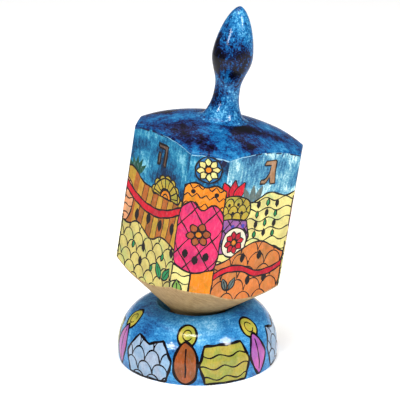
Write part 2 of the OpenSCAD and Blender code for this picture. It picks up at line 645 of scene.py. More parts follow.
def paint_left_face(d):
    """Wide face to the left of the view."""
    u = BAR.centre(6)
    d.tuft(u - 12.6, 61.0, ((0, 140), (0, 116), (0, 92), (0, 68), (0, 44)), 7.4, 2.3, "deep_green")
    rise = hill(u, 36, (-21, 62), (-15, 63.6), (-9, 60.4), (-3, 59), (21, 60))
    number = d.patch(rise, "gold")
    plank = 3.1
    d.stripes(number, (u - 9, 36, u + 19, 62), "brown", plank, slant=0.1)
    for i in range(10):
        start = u - 9 + plank * i
        for part in parts_inside(rise, [(start, 36), (start + 2.6, 62)]):
            d.ink(part, within=number, width=0.34)
    d.outline(rise)
    side = curve(u, (-21, 60), (-14.5, 57), (-12.2, 51), (-13.4, 44), (-17, 40), (-21, 40))
    d.patch(side, "salmon", (waves, 3.2, 0.5, 5.0))
    d.half_daisy(u + 6.6, 57.6, 8.8, 7, "khaki", "orange")
    d.patch(ribbon(u, 3.1, (-21, 60.5), (-14, 55.6), (-5, 52.4), (4, 52.2), (12, 55.0), (21, 60)), "red")
    d.seeds(u, ((-8.6, 44.0), (-1.4, 44.6), (5.8, 44.2), (13.0, 45.4)), 4.6, 2.2, 90, "ink")
    low = hill(u, FACE_FOOT, (-21, 43), (-14, 41), (-7, 43.4), (1, 39.6), (9, 42.4), (21, 38))
    d.patch(low, "straw", (scales, 6.2, 4.0))
    d.seeds(u, ((-8.5, 32.6), (4.0, 27.4), (9.8, 33.6)), 3.4, 1.7, 80, "green")
    d.seeds(u, ((-1.6, 33.4), (-2.4, 27.4), (15.0, 36.8)), 3.6, 2.0, 96, "ink")
    d.fan(u, 26.6, ((10.4, 118), (12.0, 62)), 6.6, 3.4, "green")


def paint_middle_face(d):
    """Narrow face in the middle of the view."""
    u = BAR.centre(7)
    d.patch(circle(u, 73.6, 5.0, 30), "sky_deep")
    d.rosette(u, 73.6, 4.6, 8, "pale_yellow", "orange")
    collar = hill(u, 54, (-8, 66.4), (-4, 68.2), (0, 66.6), (4, 68.2), (8, 66.4))
    d.patch(collar, "orange", (zigzags, 3.4, 2.0, 3.4))
    d.dots(shifted(u, (-4.4, 64.6), (4.4, 64.6)), 0.9, "ink")
    body = curve(u, (-8.4, 56.5), (-4.4, 60.6), (0, 57.8), (4.4, 60.6), (8.4, 56.5), (8.8, 46), (7.6, 36.2),
                 (0, 33), (-7.6, 36.2), (-8.8, 46), closed=True)
    d.patch(body, "pink", (diamonds, 8.2, 11.0))
    d.rosette(u, 48.2, 4.9, 6, "rust", "orange")
    d.seeds(u, ((-4.0, 38.6), (0.0, 36.6), (4.0, 38.6)), 3.4, 2.0, 90, "ink")
    left_foot = shifted(u, (-8, 35.4), (-0.6, 32.6), (-0.6, FACE_FOOT), (-8, FACE_FOOT))
    d.patch(left_foot, "pale_yellow", (waves, 3.0, 0.6, 6.0))
    d.patch(shifted(u, (-0.6, 32.6), (8, 35.6), (8, FACE_FOOT), (-0.6, FACE_FOOT)), "orange")
    d.leaf(u - 4.6, 23.2, 6.4, 3.4, 98, "leaf")


def paint_right_face(d):
    """Wide face to the right of the view."""
    u = BAR.centre(0)
    d.fan(u, 62.0, ((-14.4, 116), (-13.6, 88), (-12.8, 60)), 9.0, 4.6, "red", vein=False)
    d.tuft(u, 61.0, ((-5.0, 118), (-3.6, 92), (-2.2, 66)), 7.4, 2.8, "grey")
    rise = hill(u, 36, (-21, 61), (-12, 62.6), (-4, 61), (5, 64.8), (13, 63), (21, 66))
    d.patch(rise, "pale_yellow", (waves, 4.0, 0.8, 9.4))
    for row in range(4):
        for column in range(3):
            place = (0.2 + 4.6 * column, 46.8 + 4.0 * row + 0.5 * (column % 2))
            d.seeds(u, (place,), 2.9, 1.7, 90, ("green", "ink")[(row + column) % 2])
    band = curve(u, (-21, 63.4), (-12, 64.4), (-5.4, 62.4), (-3.6, 58), (-5.6, 54.4), (-12, 55), (-21, 54))
    number = d.patch(band, "khaki", (scales, 4.4, 2.8))
    d.dots(shifted(u, (-14.4, 60.9), (-10.0, 60.9), (-12.2, 57.6), (-7.8, 57.6)), 0.7, "ink", number)
    cloth = shifted(u, (-21, 55), (-12, 55.4), (-4.6, 54), (-2.4, 47.6), (-4.6, 41), (-21, 42))
    number = d.patch(cloth, "purple", (diamonds, 5.0, 5.4))
    spots = [(5.0 * i - 16, 52.2 - 5.4 * k) for i in range(3) for k in range(2)]
    d.dots(shifted(u, *spots), 0.85, "violet_blue", number)
    d.rosette(u - 9.2, 45.8, 4.6, 8, "red", "orange", ground="cream")
    low = hill(u, FACE_FOOT, (-21, 37), (-13, 38.2), (-5, 42.6), (3, 45.4), (11, 42.6), (21, 38))
    d.patch(low, "terracotta", (scales, 8.2, 5.2))
    d.seeds(u, ((-3.6, 37.4), (4.6, 38.0), (0.8, 28.0), (9.0, 28.6)), 3.6, 2.1, 90, "ink")
    d.patch(ribbon(u, 2.5, (-21, 31), (-13, 35.6), (-4, 36.2), (4, 33.4), (12, 34.4), (21, 39)), "red")
    d.fan(u, 26.4, ((-9.4, 116), (-8.2, 64)), 5.6, 2.7, "grey")


def paint_nun_face(d):
    """Wide face at the right of the back."""
    u = BAR.centre(2)
    rise = hill(u, 40, (-21, 64), (-11, 60.4), (0, 65), (10, 61), (21, 64))
    number = d.patch(rise, "orange")
    field = (u - 21, 40, u + 21, 66)
    lozenge = (7.0, 8.6)
    d.checks(number, field, "gold", *lozenge)
    for line in diamonds(field, *lozenge):
        for part in parts_inside(rise, line):
            d.ink(part, within=number)
    depth = 5.0
    crest = ((-21, 50), (-11, 46.4), (0, 51), (10, 47), (21, 50))
    d.patch(ribbon(u, depth, *crest), "pink", (upright_lines, 2.6))
    d.patch(hill(u, FACE_FOOT, *[(x, v - depth) for x, v in crest]), "pale_yellow", (waves,))
    d.rosette(u - 8.4, 35.8, 5.0, 8, "magenta", "gold", ground="cream")
    d.rosette(u + 8.6, 34.4, 5.0, 8, "red", "gold", ground="leaf")
    d.sprig(u + 0.2, 26, 15, "green")


def paint_shin_face(d):
    """Wide face at the left of the back."""
    u = BAR.centre(4)
    rise = hill(u, 40, (-21, 61), (-10, 65), (1, 61), (11, 65), (21, 62))
    d.patch(rise, "khaki", (scales, 5.6, 3.6))
    for i in range(5):
        lozenge = shifted(u - 20 + 8 * i, (0, 55), (4, 48.4), (8, 55), (4, 61.6))
        d.patch(lozenge, ("red", "purple")[i % 2])
    middle = hill(u, FACE_FOOT, (-21, 46), (-9, 49.6), (3, 46.2), (12, 49), (21, 46))
    d.patch(middle, "terracotta", (zigzags, 4.2, 1.7, 3.6))
    low = hill(u, FACE_FOOT, (-21, 34), (-10, 39.4), (0, 34), (10, 38.6), (21, 34))
    d.patch(low, "straw", (waves, 3.6, 0.8, 7.0))
    d.rosette(u, 41.4, 4.6, 8, "orange", "brown", ground="cream")
    d.fan(u, 27, ((-13, 90), (13, 90)), 8, 3.6, "green")


def paint_narrow_face(d, face, point, body, foot):
    """A narrow face at the side or back: a pointed field, a long lozenge and a foot."""
    u = BAR.centre(face)
    d.patch(shifted(u, (-7.5, 62), (0, 69), (7.5, 62), (7.5, 50), (-7.5, 50)), point, (rays, 7))
    d.patch(shifted(u, (0, 61), (7.6, 47), (0, 33), (-7.6, 47)), body)
    d.rosette(u, 47, 3.4, 6, "cream", "red")
    d.patch(shifted(u, (-8, 44), (0, 30.6), (8, 44), (8, FACE_FOOT), (-8, FACE_FOOT)), foot, (scales,))


def paint_sky(d, face):
    """The wash of sky on one face, with what the dome's paint left along its upper edge and a painted
    highlight of pale strokes along that edge.
    """
    light = face in (0, 4)
    middle, half = BAR.centre(face), BAR.half(face)
    d.fill(rectangle(middle - half, SKY_FOOT, middle + half, SKY_TOP), "sky_light" if light else "sky_mid")
    if face % 2:
        drips(d, face, 0.0, 0.95, 9, 4.4, ("navy", "sky_dark", "sky_dark"), 0.8)
        edge_line(d, face, -1, 1, EDGE_HIGHLIGHT_PAINTS, 0.4, 1.0)
    elif light:
        drips(d, face, -0.2, 0.5, 4, 3.4, ("sky_dark", "sky_deep"), 0.26)
        drips(d, face, 0.4, 0.95, 3, 1.6, ("sky_dark", "navy"), 0.36)
        edge_line(d, face, -1, -0.3, EDGE_HIGHLIGHT_PAINTS, 0.34)
        edge_line(d, face, -0.3, 1, NAVY_PAINTS, 0.55, 0.6)
    else:
        edge_line(d, face, -1, 0.1, NAVY_PAINTS, 0.9)
        edge_line(d, face, 0.0, 1, EDGE_HIGHLIGHT_PAINTS, 0.3, 1.0)


def block_drawing():
    """Everything painted on the block's eight faces."""
    d = Drawing(seed=7, ink_width=0.64)
    d.fill(rectangle(-1, SKY_FOOT, BAR.length + 1, WASH_TOP), "sky_mid", brush=1.0)
    for face in range(8):
        paint_sky(d, face)
    paint_left_face(d)
    paint_right_face(d)
    paint_nun_face(d)
    paint_shin_face(d)
    paint_middle_face(d)
    for face, colours in NARROW_FACES.items():
        paint_narrow_face(d, face, *colours)
    for face, name, right, *look in LETTER_PLACES:
        draw_letter(d, name, BAR.centre(face) + right, *look)
    return d


# The stand's outside, walked round anticlockwise from the back. v is the distance up the turned outline.


def stand_outline():
    """Points of the stand's outside, from the underside's edge over the shoulder to the lip's top."""
    points = [(BASE_R + (BELLY_R - BASE_R) * math.sin(a), BELLY_Z * (1 - math.cos(a)))
              for a in np.linspace(0, QUARTER_TURN, BELLY_STEPS + 1)]
    points += [(LIP_X + (BELLY_R - LIP_X) * math.cos(a), BELLY_Z + (STAND_H - BELLY_Z) * math.sin(a))
               for a in np.linspace(0, QUARTER_TURN, SHOULDER_STEPS + 1)[1:]]
    return np.array(points)


def stand_drawing():
    """Panels, leaves and discs in black outline on the stand's blue, three times round."""
    d = Drawing(seed=19, ink_width=1.05)
    d.fill(rectangle(0, -1, STAND_LENGTH, 60), "stand_blue", brush=1.0)
    repeats = 3
    fine_pen = 0.6
    brown_leaf, pink_leaf = 28.4, 60.2
    for i in range(repeats):
        u = i * STAND_LENGTH / repeats
        for x in (brown_leaf, pink_leaf):
            d.patch(circle(u + x, 20.0, 4.6, 32), "disc_yellow")
            d.ink(arc_line(u + x, 20.0, 2.2, 20, 330, 16), width=0.5)
        crown = shifted(u + 11.4, (-11.4, 9.0), (-6.84, 16.6), (0, 14.2), (6.84, 16.6), (11.4, 9.0),
                        (9.12, 0.6), (-9.12, 0.6))
        d.patch(crown, "ice", (scales, 7.2, 4.8), width=fine_pen)
        broad_leaf = curve(u + brown_leaf, (0, 17.4), (4.4, 12.0), (4.0, 3.6), (0, 0.5), (-4.0, 3.6),
                           (-4.4, 12.0), closed=True)
        d.patch(broad_leaf, "rust")
        d.ink(shifted(u + brown_leaf, (0, 3.4), (0, 14.4)), width=fine_pen)
        barrel = shifted(u + 44.4, (-10.6, 8.2), (-8.268, 15.8), (8.268, 15.8), (10.6, 8.2), (8.268, 0.6),
                         (-8.268, 0.6))
        d.patch(barrel, "olive", (waves, 4.4, 0.7, 8.4), width=fine_pen)
        slim_leaf = curve(u + pink_leaf, (0, 17.2), (4.4, 8.8), (0, 0.5), (-4.4, 8.8), closed=True)
        d.patch(slim_leaf, "magenta")
        d.ink(shifted(u + pink_leaf, (0, 2.8), (0, 14.6)), width=fine_pen)
    return d


# Pools that move the blue's tone: bearing in degrees, place, reach, and how far the tone moves. On the dome
# they are where the paint gathered or was wiped thin. On the handle and the stand they are painted light as
# well as paint: the dark pools down the handle's left side and on the stand's front left are painted shade,
# and the light pools on the front of the handle and in the middle of the stand's front are a painted sheen.
# The place is the height above the block on the handle, the distance from the axis on the dome, and
# the height on the stand.
HANDLE_POOLS_AND_PAINTED_LIGHT = (
    (-105, 29.0, 2.6, -0.22), (-97, 25.0, 3.0, -0.30), (-90, 21.0, 2.6, -0.30), (-16, 23.0, 3.4, -0.30),
    (-22, 18.5, 1.6, -0.30), (-20, 28.0, 2.0, -0.16), (-84, 9.0, 2.6, -0.34), (-48, 4.0, 3.6, 0.16),
    (-14, 9.0, 2.6, 0.12), (0, 35.0, 3.4, 0.16), (-24, 30.5, 2.4, -0.12), (-50, 40.5, 1.8, 0.14),
    (90, 24.0, 3.2, -0.28), (160, 18.0, 2.6, -0.24), (120, 7.0, 2.6, -0.28), (150, 33.0, 3.0, 0.12),
)
DOME_POOLS = (
    (-78, 21.0, 5.0, -0.26), (-14, 12.0, 3.6, -0.16), (11, 14.0, 4.4, -0.30), (35, 23.0, 3.4, -0.18),
    (-15, 25.5, 2.2, -0.32), (-47, 28.5, 2.0, -0.26), (-54, 24.5, 2.2, -0.16), (-47, 15.0, 3.4, 0.10),
    (48, 18.0, 2.8, 0.12), (100, 24.0, 4.0, -0.26), (150, 15.0, 4.4, -0.26), (-150, 25.0, 4.0, -0.24),
    (-120, 14.0, 3.4, 0.12),
)
STAND_POOLS_AND_PAINTED_LIGHT = (
    (-84, 19.0, 6.5, 0.15), (-141, 20.0, 6.0, -0.10), (-45, 22.0, 5.0, -0.06), (60, 18.0, 6.0, -0.10),
    (120, 19.0, 6.0, 0.12),
)


def pools_on(table, radius_and_height):
    """A table's pools as points with reach and tone. The function gives a place's radius and height."""
    pools = []
    for bearing, place, reach, tone in table:
        radius, height = radius_and_height(place)
        angle = math.radians(bearing)
        pools.append((radius * math.cos(angle), radius * math.sin(angle), height, reach, tone))
    return pools


def tone_at(points, pools):
    """How much lighter or darker the pools make each point: blotches of paint, and on the handle and the
    stand painted shade and painted sheen too.
    """
    tone = np.zeros(len(points))
    for x, y, z, reach, depth in pools:
        far = np.sum((points - (x, y, z)) ** 2, axis=1)
        tone += depth * np.exp(-far / (2 * reach**2))
    return tone


# Meshes

# Material slots: those that block and stand share, the block's own, the stand's own and the handle's
PAINT_SLOT, BLUE_SLOT, WOOD_SLOT, INK_SLOT = range(4)
SKY_SLOT, PALE_SKY_SLOT = 4, 5
SOCKET_SLOT = 4
HANDLE_SLOT = 0

# Millimetres within which points of a drawing meet, and within which one counts as on a border
MEETING = 1e-4
BORDER_REACH = 2e-3

# The triangles asked of the arranger: those inside the shapes
INSIDE_SHAPES = 1


class Sheet:
    """One mesh in millimetres: points with true normals, and faces with material, colour and brush."""

    def __init__(self):
        self.points, self.normals, self.faces = [], [], []
        self.slots, self.colours, self.places = [], [], []

    def add_points(self, points, normals):
        first = len(self.points)
        self.points.extend(tuple(p) for p in points)
        self.normals.extend(tuple(n) for n in normals)
        return first

    def add_face(self, corners, slot, colour=(1, 1, 1), brush=1.0, places=None):
        self.faces.append(tuple(corners))
        self.slots.append(slot)
        self.colours.append((*colour, brush))
        self.places.append(places)

    def add_grid(self, rows, normals, slot):
        """Quads between rows of points. Rows run anticlockwise, each one inside or above the one before."""
        count = len(rows[0])
        first = self.add_points([p for row in rows for p in row], [n for row in normals for n in row])
        for r in range(len(rows) - 1):
            for i in range(count - 1):
                a = first + r * count + i
                self.add_face((a, a + 1, a + count + 1, a + count), slot)

    def welded(self, index):
        """The faces on welded points, without those that collapse, with their numbers and corner places."""
        faces, numbers, own_places = [], [], []
        for number, face in enumerate(self.faces):
            corners = [int(index[c]) for c in face]
            places = self.places[number] or [self.points[c] for c in face]
            kept = [k for k in range(len(corners)) if corners[k] != corners[k - 1]]
            if len(kept) > 2 and len({corners[k] for k in kept}) == len(kept):
                faces.append([corners[k] for k in kept])
                own_places.extend(places[k] for k in kept)
                numbers.append(number)
        return faces, numbers, own_places

    def build(self, name, materials, matrix, pools=()):
        """Welds the points that meet and makes the object, with its place in its mesh."""
        points = np.array(self.points)
        rounded = np.round(points, 4)
        kept, index = np.unique(rounded, axis=0, return_index=True, return_inverse=True)[1:]
        faces, numbers, places = self.welded(index.ravel())
        mesh = bpy.data.meshes.new(name)
        mesh.from_pydata([matrix @ Vector(self.points[k]) for k in kept], [], faces)
        for material in materials:
            mesh.materials.append(material)
        mesh.polygons.foreach_set("material_index", [self.slots[n] for n in numbers])
        colours, brushes = [], []
        for n, face in zip(numbers, faces):
            colours.extend((*self.colours[n][:3], 1.0) * len(face))
            brushes.extend([self.colours[n][3]] * len(face))
        mesh.color_attributes.new("paint", "FLOAT_COLOR", "CORNER").data.foreach_set("color", colours)
        mesh.attributes.new("brush", "FLOAT", "CORNER").data.foreach_set("value", brushes)
        flat = np.array(places, float).ravel()
        mesh.attributes.new("place", "FLOAT_VECTOR", "CORNER").data.foreach_set("vector", flat)
        tones = tone_at(points[kept], pools)
        mesh.attributes.new("tone", "FLOAT", "POINT").data.foreach_set("value", tones)
        turn = matrix.to_3x3().normalized()
        mesh.normals_split_custom_set_from_vertices([turn @ Vector(self.normals[k]) for k in kept])
        mesh.update()
        return add_to_scene(name, mesh)


def add_to_scene(name, data):
    thing = bpy.data.objects.new(name, data)
    bpy.context.scene.collection.objects.link(thing)
    return thing


def arrange(drawing, border, creases):
    """Cuts the drawing, its border and the surface's creases against each other.

    Returns the points, the triangles inside the border and the number of the shape seen in each.
    """
    shapes = drawing.shapes
    points, faces, edges = [], [], []
    for outline in [border] + [anticlockwise(s[0]) for s in shapes]:
        faces.append(list(range(len(points), len(points) + len(outline))))
        points.extend(Vector((float(p[0]), float(p[1]))) for p in outline)
    for line in creases:
        edges.extend((len(points) + i, len(points) + i + 1) for i in range(len(line) - 1))
        points.extend(Vector((float(p[0]), float(p[1]))) for p in line)
    found = delaunay_2d_cdt(points, edges, faces, INSIDE_SHAPES, MEETING, True)
    # Number 0 is the border, and number n is shape n - 1. Each shape shows only inside its keeper.
    keepers = [None] + [0 if within is None else within + 1 for _, _, within, _, _ in shapes]
    kept, seen = [], []
    for triangle, covers in zip(found[2], found[5]):
        if 0 in covers:
            kept.append(triangle)
            seen.append(max(n for n in covers if n and keepers[n] in covers) - 1)
    return [(p[0], p[1]) for p in found[0]], kept, seen


def lay(sheet, drawing, arranged, to_surface, slots):
    """Lays an arranged drawing on a surface. slots gives the colours that have a material of their own."""
    flat, triangles, seen = arranged
    used = sorted({k for triangle in triangles for k in triangle})
    mapped = [to_surface(*flat[k]) for k in used]
    first = sheet.add_points([m[0] for m in mapped], [m[1] for m in mapped])
    number_of = {k: first + i for i, k in enumerate(used)}
    for triangle, number in zip(triangles, seen):
        _, colour, _, brush, run = drawing.shapes[number]
        a, b, c = (flat[k] for k in triangle)
        left_turn = (b[0] - a[0]) * (c[1] - a[1]) > (b[1] - a[1]) * (c[0] - a[0])
        ordered = triangle if left_turn else triangle[::-1]
        places = [(*flat[k], run) for k in ordered]
        slot = slots.get(colour, PAINT_SLOT)
        sheet.add_face([number_of[k] for k in ordered], slot, PAINTS[colour], brush, places)


def border_points(arranged, us, vs):
    """u and v of every used point on the border line through (us, vs), in order of u."""
    flat, triangles, _ = arranged
    used = sorted({k for t in triangles for k in t})
    u = np.array([flat[k][0] for k in used])
    v = np.array([flat[k][1] for k in used])
    on = np.abs(np.interp(u, us, vs) - v) < BORDER_REACH
    heights = dict(zip(np.round(u[on], 5), v[on]))
    return dict(sorted(heights.items()))


def blend_rows(start, corner, end, start_normal, end_normal, steps=4):
    """Rows that turn softly over an edge, without the first and last row."""
    rows, normals = [], []
    for k in range(1, steps):
        t = k / steps
        rows.append([a * (1 - t) ** 2 + b * 2 * t * (1 - t) + c * t * t
                     for a, b, c in zip(start, corner, end)])
        normals.append([(a * (1 - t) + b * t).normalized() for a, b in zip(start_normal, end_normal)])
    return rows, normals


def edge_rows(border, height_at):
    """What the soft edge between the faces and a turned surface needs.

    Returns rows for the edge of the faces, the sharp corner and the edge of the turned surface, and the
    normals of the faces.
    """
    face_edge, corner, turned_edge, out = [], [], [], []
    for u, v in border.items():
        place, normal = BAR.at(u)
        radius = math.hypot(place.x, place.y)
        share = (radius - EDGE_SOFT) / radius
        face_edge.append(Vector((place.x, place.y, v)))
        corner.append(Vector((place.x, place.y, height_at(radius))))
        turned_edge.append(Vector((place.x * share, place.y * share, height_at(radius - EDGE_SOFT))))
        out.append(normal)
    return face_edge, corner, turned_edge, out


def turned_rows(edge, inner, height_at, steps):
    """Rows from a ring of radius inner about the axis out to an edge on the same turned surface."""
    rows = []
    for k in range(steps + 1):
        row = []
        for p in edge:
            radius = math.hypot(p.x, p.y)
            r = inner + (radius - inner) * k / steps
            row.append(Vector((p.x * r / radius, p.y * r / radius, height_at(r))))
        rows.append(row)
    return rows


def away_from(centre_z, rows):
    """Normals of a ball whose centre is on the axis."""
    return [[(p - Vector((0, 0, centre_z))).normalized() for p in row] for row in rows]


def add_crown(sheet, border):
    """The domed top: over the soft edge, in to the handle's land, and down the bore."""
    face_edge, corner, dome_edge, out = edge_rows(border, crown_z)
    dome = turned_rows(dome_edge, FOOT_R, crown_z, CROWN_STEPS)[::-1]
    dome_normals = away_from(BLOCK_H - CROWN_R, dome)
    soft, soft_normals = blend_rows(face_edge, corner, dome_edge, out, dome_normals[0])
    sheet.add_grid([face_edge] + soft + dome, [out] + soft_normals + dome_normals, BLUE_SLOT)
    land = [Vector((p.x * BORE_R / FOOT_R, p.y * BORE_R / FOOT_R, SEAT_Z)) for p in dome[-1]]
    floor = [Vector((p.x, p.y, SEAT_Z - BORE_DEPTH)) for p in land]
    middle = [Vector((0, 0, SEAT_Z - BORE_DEPTH)) for _ in land]
    up = [Vector((0, 0, 1))] * len(land)
    inwards = [-Vector((p.x, p.y, 0)).normalized() for p in land]
    sheet.add_grid([dome[-1], land], [up, up], BLUE_SLOT)
    sheet.add_grid([land, floor], [inwards, inwards], BLUE_SLOT)
    sheet.add_grid([floor, middle], [up, up], BLUE_SLOT)


def add_point(sheet, border):
    """The turned point: from the worn tip up to the faces' lower edge."""
    face_edge, corner, cone_edge, out = edge_rows(border, point_z)
    ball = []
    for angle in np.linspace(-QUARTER_TURN, -POINT_HALF_ANGLE, TIP_STEPS + 1):
        radius = TIP_R * math.cos(angle)
        height = Vector((0, 0, TIP_R * (1 + math.sin(angle))))
        ball.append([Vector((p.x, p.y, 0)).normalized() * radius + height for p in cone_edge])
    cone = turned_rows(cone_edge, TIP_R * math.cos(POINT_HALF_ANGLE), point_z, POINT_STEPS)[1:]
    flat = math.cos(POINT_HALF_ANGLE)
    down = Vector((0, 0, -math.sin(POINT_HALF_ANGLE)))
    side = [Vector((p.x, p.y, 0)).normalized() * flat + down for p in cone_edge]
    soft, soft_normals = blend_rows(cone_edge, corner, face_edge, side, out)
    normals = away_from(TIP_R, ball) + [side] * len(cone) + soft_normals + [out]
    sheet.add_grid(ball + cone + soft + [face_edge], normals, WOOD_SLOT)


def make_block(materials):
    """The block as one closed skin: painted faces, domed top and bare point."""
    us = BAR.samples()
    radii = [math.hypot(*BAR.at(u)[0].xy) for u in us]
    low = [point_z(r) + EDGE_SOFT for r in radii]
    high = [crown_z(r) - EDGE_SOFT for r in radii]
    border = list(zip(us, low)) + list(zip(us, high))[::-1]
    drawing = block_drawing()
    creases = [[(u, CREASE_FOOT), (u, CREASE_TOP)] for u in BAR.corner_lines()[:-1]]
    arranged = arrange(drawing, border, creases)
    sheet = Sheet()

    def to_surface(u, v):
        place, normal = BAR.at(min(max(u, 0), BAR.length))
        return (place.x, place.y, v), normal

    slots = {"ink": INK_SLOT, "sky_mid": SKY_SLOT, "sky_light": PALE_SKY_SLOT}
    lay(sheet, drawing, arranged, to_surface, slots)
    add_crown(sheet, border_points(arranged, us, high))
    add_point(sheet, border_points(arranged, us, low))
    pools = pools_on(DOME_POOLS, lambda radius: (radius, crown_z(radius)))
    return sheet.build("painted_block", materials, TOP, pools)


def lathe(sheet, outline):
    """Turns an outline of (radius, height) points, given from the bottom of the outside upwards."""
    outline = np.asarray(outline, float)
    angles = [FULL_TURN * i / TURN_STEPS for i in range(TURN_STEPS)] + [0.0]
    rows, normals = [], []
    for (radius, height), (dr, dz) in zip(outline, np.gradient(outline, axis=0)):
        size = max(math.hypot(dr, dz), 1e-9)
        rows.append([Vector((radius * math.cos(a), radius * math.sin(a), height)) for a in angles])
        out, up = dz / size, -dr / size
        normals.append([Vector((out * math.cos(a), out * math.sin(a), up)) for a in angles])
    sheet.add_grid(rows, normals, HANDLE_SLOT)


def handle_radius(z):
    """Radius of the handle at a height above the block."""
    if z < NECK_Z:
        return NECK_R + (FOOT_R - NECK_R) * (1 - z / NECK_Z) ** FLARE
    if z < BULB_Z:
        return NECK_R + (BULB_R - NECK_R) / 2 * (1 - math.cos(math.pi * (z - NECK_Z) / (BULB_Z - NECK_Z)))
    return BULB_R * max(0.0, 1 - ((z - BULB_Z) / (HANDLE_H - BULB_Z)) ** TIP_TAPER) ** TIP_FULLNESS


def fillet(start, above, steps=10):
    """Outline of the paint that fills the corner between foot and dome, from the dome up to start."""
    slope = (start[0] - above[0]) / (above[1] - start[1])
    end = (FILLET_R, crown_z(FILLET_R))
    fall = -FILLET_R / math.sqrt(CROWN_R**2 - FILLET_R**2)
    run = (start[0] - end[0] + slope * (start[1] - end[1])) / (1 + slope * fall)
    corner = (end[0] + run, end[1] + run * fall)
    points = []
    for t in np.arange(steps) / steps:
        mixed = [(1 - t) ** 2 * e + 2 * t * (1 - t) * c + t * t * s for e, c, s in zip(end, corner, start)]
        points.append(tuple(mixed))
    return points


def make_handle(materials):
    """The turned handle with its tenon."""
    heights = list(np.linspace(FILLET_Z, BULB_Z, HANDLE_STEPS + 1)[:-1])
    angles = np.linspace(0, QUARTER_TURN, BULB_TIP_STEPS + 1)
    heights += [BULB_Z + (HANDLE_H - BULB_Z) * math.sin(a) for a in angles]
    outside = [(handle_radius(z), SEAT_Z + z) for z in heights]
    foot = (FOOT_R, SEAT_Z)
    shoulder = (TENON_R, SEAT_Z)
    tenon_end = (TENON_R, SEAT_Z - TENON_H)
    sheet = Sheet()
    lathe(sheet, fillet(outside[0], outside[1]) + outside)
    lathe(sheet, [foot, (FILLET_R, crown_z(FILLET_R))])
    lathe(sheet, [shoulder, foot])
    lathe(sheet, [tenon_end, shoulder])
    lathe(sheet, [(0, SEAT_Z - TENON_H), tenon_end])
    # Pools of paint, with painted shade down the handle's left side and a painted sheen on its front
    pools = pools_on(HANDLE_POOLS_AND_PAINTED_LIGHT, lambda z: (handle_radius(z), SEAT_Z + z))
    return sheet.build("painted_handle", materials, TOP, pools)


def ring_place(u, radius, height):
    """The point at u on a ring about the stand's axis."""
    angle = QUARTER_TURN + u / BELLY_R
    return Vector((radius * math.cos(angle), radius * math.sin(angle), height))


def socket_parts():
    """The socket from the lip's top inwards: stretches of places with normals, each with its slot."""
    lip_z = STAND_H - LIP_R
    run = math.hypot(LIP_X - FLOOR_R, lip_z - FLOOR_Z)
    slope = math.atan2(lip_z - FLOOR_Z, LIP_X - FLOOR_R) + math.asin(LIP_R / run)
    lip = [(LIP_X + LIP_R * math.cos(a), lip_z + LIP_R * math.sin(a), math.cos(a), math.sin(a))
           for a in np.linspace(QUARTER_TURN, QUARTER_TURN + slope, LIP_STEPS + 1)]
    radius, height, out, up = lip[-1]
    shares = [k / SOCKET_STEPS for k in range(1, SOCKET_STEPS + 1)]
    wall = [(radius + (FLOOR_R - radius) * t, height + (FLOOR_Z - height) * t, out, up) for t in shares]
    floor = [(FLOOR_R, FLOOR_Z, 0, 1), (0, FLOOR_Z, 0, 1)]
    blue, painted = BLUE_LIP_STEPS, PAINTED_SOCKET_STEPS
    return (
        (lip[:blue + 1], BLUE_SLOT),
        (lip[blue:] + wall[:painted], SOCKET_SLOT),
        (wall[painted - 1:] + floor, WOOD_SLOT),
    )


def make_stand(materials):
    """The turned stand: drawn outside, painted lip with a lighter blue down into the socket as painted light,
    bare socket and underside.
    """
    outline = stand_outline()
    steps = np.hypot(*np.diff(outline, axis=0).T)
    ups = np.concatenate([[0], np.cumsum(steps)])
    slopes = np.gradient(outline, ups, axis=0)
    slopes[-1] = (-1, 0)
    us = [STAND_LENGTH * i / TURN_STEPS for i in range(TURN_STEPS + 1)]
    border = [(u, 0.0) for u in us] + [(u, ups[-1]) for u in us[::-1]]
    creases = [[(u, 0.0), (u, ups[-1])] for u in us[1:-1]]
    creases += [[(0, v), (STAND_LENGTH, v)] for v in ups[1:-1]]
    drawing = stand_drawing()
    arranged = arrange(drawing, border, creases)
    sheet = Sheet()

    def to_surface(u, v):
        radius, height = (np.interp(v, ups, outline[:, i]) for i in (0, 1))
        dr, dz = (np.interp(v, ups, slopes[:, i]) for i in (0, 1))
        return ring_place(u, radius, height), ring_place(u, dz, -dr).normalized()

    lay(sheet, drawing, arranged, to_surface, {"ink": INK_SLOT, "stand_blue": BLUE_SLOT})
    rim = border_points(arranged, us, [ups[-1]] * len(us))
    for part, slot in socket_parts():
        rows = [[ring_place(u, r, z) for u in rim] for r, z, _, _ in part]
        normals = [[ring_place(u, out, up).normalized() for u in rim] for _, _, out, up in part]
        sheet.add_grid(rows, normals, slot)
    edge = [ring_place(u, BASE_R, 0) for u in border_points(arranged, us, [0.0] * len(us))]
    down = [Vector((0, 0, -1))] * len(edge)
    sheet.add_grid([[Vector((0, 0, 0)) for _ in edge], edge], [down, down], WOOD_SLOT)
    # Pools of paint, with painted shade on the stand's front left and a painted sheen in the middle of its
    # front
    pools = pools_on(STAND_POOLS_AND_PAINTED_LIGHT, lambda z: (np.interp(z, outline[:, 1], outline[:, 0]), z))
    return sheet.build("painted_stand", materials, STAND, pools)


# Materials

# What tints brushed paint: the blue of the ground, its own dark strokes and its pale glints
COOL_TINT = (0.62, 0.88, 1.0)
DARK_TINT = (0.50, 0.46, 0.50)
GLINT_TINT = (0.62, 0.84, 0.94)

BUMP_DEPTH = 0.2 * MM


